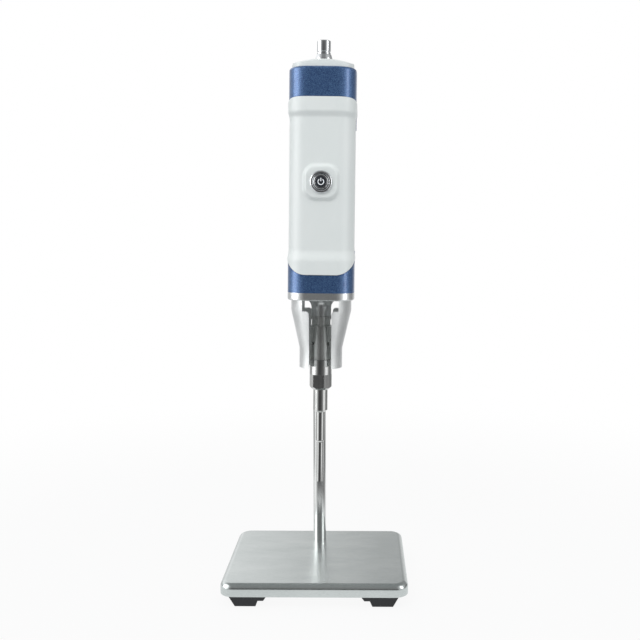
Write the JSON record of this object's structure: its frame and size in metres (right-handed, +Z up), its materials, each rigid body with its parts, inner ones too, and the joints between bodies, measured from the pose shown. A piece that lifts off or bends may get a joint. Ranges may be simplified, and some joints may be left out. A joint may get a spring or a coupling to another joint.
{
  "type": "ultrasonic cell disruptor",
  "caption": "Hand-held ultrasonic transducer with horn, guard and probe, clamped to a rod stand on a flat base plate.",
  "frame": {"origin": "on the bench, under the middle of the base plate", "axes": "+X to the right, +Y to the back where the rod stands, +Z up"},
  "size_m": [0.16, 0.14, 0.4819],
  "materials": {
    "brushed_stainless": "brushed front to back, satin",
    "polished_rod": "polished, fine lengthwise grain",
    "steel_fastener": "machined",
    "black_rubber": "moulded, matt",
    "nylon": "moulded nylon",
    "black_anodised": "black anodised, satin",
    "brass": "turned",
    "knob_plastic": "fine texture",
    "polished_arm": "ground",
    "navy_shell": "metallic navy paint, gloss",
    "white_plastic": "moulded, silk gloss",
    "satin_aluminium": "fine turned, satin",
    "ceramic": "fired, silvered faces",
    "insulation": "fluoropolymer",
    "steel_mass": "turned",
    "titanium_horn": "turned, satin",
    "titanium_probe": "turned and polished",
    "chrome": "plated",
    "plated_nut": "nickel plated",
    "black_plastic": "moulded",
    "dark_lens": "smoked, gloss",
    "lit_symbol": "back-lit white",
    "lead_jacket": "silicone insulation"
  },
  "bodies": {
    "stand": {"base_plate": "brushed_stainless", "stand_rod": "polished_rod", "rod_bolt": "steel_fastener", "rod_washer": "steel_fastener", "foot_front_left": "black_rubber", "foot_front_right": "black_rubber", "foot_back_left": "black_rubber", "foot_back_right": "black_rubber", "foot_screws": "steel_fastener"},
    "bush": {"rod_bush": "nylon"},
    "clamp": {"clamp_body": "black_anodised", "pressure_pad": "brass"},
    "rod_screw": {"rod_knob": "knob_plastic", "rod_knob_stud": "steel_fastener"},
    "arm_screw": {"arm_knob": "knob_plastic", "arm_knob_stud": "steel_fastener"},
    "handle": {"support_arm": "polished_arm", "back_bracket": "black_anodised", "bracket_screws": "steel_fastener", "body_shell": "navy_shell", "front_cover": "white_plastic", "back_cover": "white_plastic", "cover_screws": "steel_fastener", "top_cap": "white_plastic", "bottom_flange": "satin_aluminium", "flange_screws": "steel_fastener", "guard_left": "satin_aluminium", "guard_right": "satin_aluminium", "guard_screws": "steel_fastener", "front_mass": "satin_aluminium", "piezo_rings": "ceramic", "electrodes": "brass", "insulating_sleeve": "insulation", "back_mass": "steel_mass", "prestress_bolt": "steel_fastener", "retaining_ring": "satin_aluminium", "ring_screws": "steel_fastener", "seal_rings": "black_rubber", "horn": "titanium_horn", "horn_stud": "steel_fastener", "probe": "titanium_probe", "probe_stud": "steel_fastener", "connector_shell": "chrome", "inlet_nut": "chrome", "inlet_locknut": "plated_nut", "connector_insert": "black_plastic", "connector_pins": "brass", "button_bezel": "chrome", "button_nut": "plated_nut", "switch_body": "black_plastic", "button_spring": "steel_fastener", "transducer_leads": "lead_jacket", "switch_leads": "lead_jacket"},
    "button": {"button_plunger": "chrome", "button_lens": "dark_lens", "button_symbol": "lit_symbol"}
  },
  "joints": [
    {"name": "height_slide", "type": "slide", "parent": "stand", "child": "bush", "axis": [0, 0, 1], "range_m": [-0.07, 0.065]},
    {"name": "swivel", "type": "hinge", "parent": "bush", "child": "clamp", "pos_m": [0, 0.044, 0.35], "axis": [0, 0, 1], "range_deg": [-120, 120]},
    {"name": "tilt", "type": "hinge", "parent": "clamp", "child": "handle", "pos_m": [0.006, -0.018, 0.35], "axis": [0, 1, 0], "range_deg": [-35, 35]},
    {"name": "rod_knob_turn", "type": "hinge", "parent": "clamp", "child": "rod_screw", "pos_m": [-0.0135, 0.044, 0.35], "axis": [-1, 0, 0], "range_deg": [0, 300]},
    {"name": "arm_knob_turn", "type": "hinge", "parent": "clamp", "child": "arm_screw", "pos_m": [0.0195, 0.0259, 0.35], "axis": [1, 0, 0], "range_deg": [0, 300]},
    {"name": "power_button", "type": "slide", "parent": "handle", "child": "button", "axis": [0, 1, 0], "range_m": [0, 0.0016], "stiffness_N_per_m": 1200, "springref_m": -0.001, "deforming": ["button_spring"]}
  ]
}
